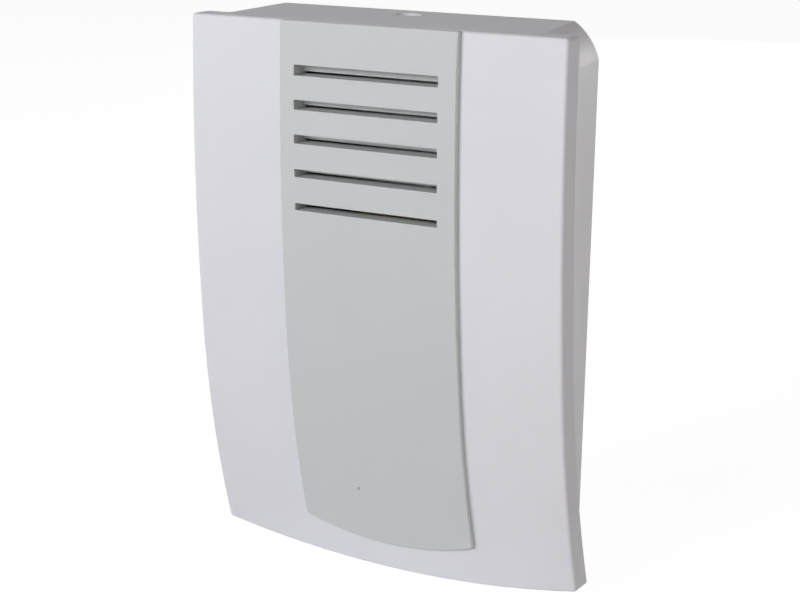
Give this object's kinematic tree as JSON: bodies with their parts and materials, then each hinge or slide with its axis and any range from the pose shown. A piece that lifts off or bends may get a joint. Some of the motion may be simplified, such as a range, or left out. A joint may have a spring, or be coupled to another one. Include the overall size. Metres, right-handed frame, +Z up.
{
  "type": "wired two-tone door chime",
  "caption": "Wall-mounted doorbell chime: a white bowed cover with a grey slotted front panel, over a base plate with a solenoid plunger that strikes two tone plates.",
  "frame": {"origin": "on the back face of the base plate, at the middle of its width and at half the height of the cover", "axes": "+X to the right as seen from the front, +Y into the wall, +Z up"},
  "size_m": [0.13, 0.0349, 0.18],
  "materials": {
    "white_plastic": "moulded, satin",
    "grey_plastic": "moulded, satin silver grey",
    "base_plastic": "moulded, matt",
    "nylon": "natural nylon",
    "bobbin_plastic": "black glass-filled nylon",
    "coil_copper": "enamelled copper wire",
    "coil_tape": "yellow polyester tape",
    "plated_steel": "zinc plated",
    "tone_steel": "ground and plated",
    "plunger_steel": "turned, plated",
    "spring_steel": "drawn wire",
    "brass": "plain",
    "soft_rubber": "matt",
    "terminal_plastic": "moulded, matt",
    "lead_insulation": "red insulation"
  },
  "bodies": {
    "base": {"base_plate": "base_plastic", "plate_posts": "base_plastic", "latch_bracket": "base_plastic", "solenoid_yoke": "plated_steel", "yoke_screws": "plated_steel", "coil_bobbin": "bobbin_plastic", "coil_winding": "coil_copper", "winding_tape": "coil_tape", "coil_pins": "brass", "return_spring": "spring_steel", "tone_plate_low": "tone_steel", "tone_plate_high": "tone_steel", "plate_grommets": "soft_rubber", "plate_pins": "plated_steel", "plate_retainers": "spring_steel", "terminal_block": "terminal_plastic", "terminal_clamps": "brass", "terminal_screws": "plated_steel", "terminal_fixing_screws": "plated_steel", "cable_grommet": "soft_rubber", "cable_clamp": "base_plastic", "cable_clamp_screws": "plated_steel", "coil_lead_left": "lead_insulation", "coil_lead_right": "lead_insulation"},
    "cover": {"cover_shell": "white_plastic", "cover_skirt": "white_plastic", "front_panel": "grey_plastic", "panel_clips": "spring_steel"},
    "plunger": {"plunger_core": "plunger_steel", "striker_tip_left": "nylon", "striker_tip_right": "nylon", "spring_cap": "plated_steel"},
    "latch": {"cover_latch": "nylon"}
  },
  "joints": [
    {"name": "cover_slide", "type": "slide", "parent": "base", "child": "cover", "axis": [0, -1, 0], "range_m": [0, 0.06]},
    {"name": "plunger_slide", "type": "slide", "parent": "base", "child": "plunger", "axis": [1, 0, 0], "range_m": [-0.0028, 0.0058], "stiffness_N_per_m": 60, "deforming": ["return_spring"]},
    {"name": "latch_press", "type": "hinge", "parent": "base", "child": "latch", "pos_m": [-0.0225, -0.0082, 0.0845], "axis": [0, 1, 0], "range_deg": [0, 4], "stiffness_Nm_per_rad": 0.5}
  ]
}
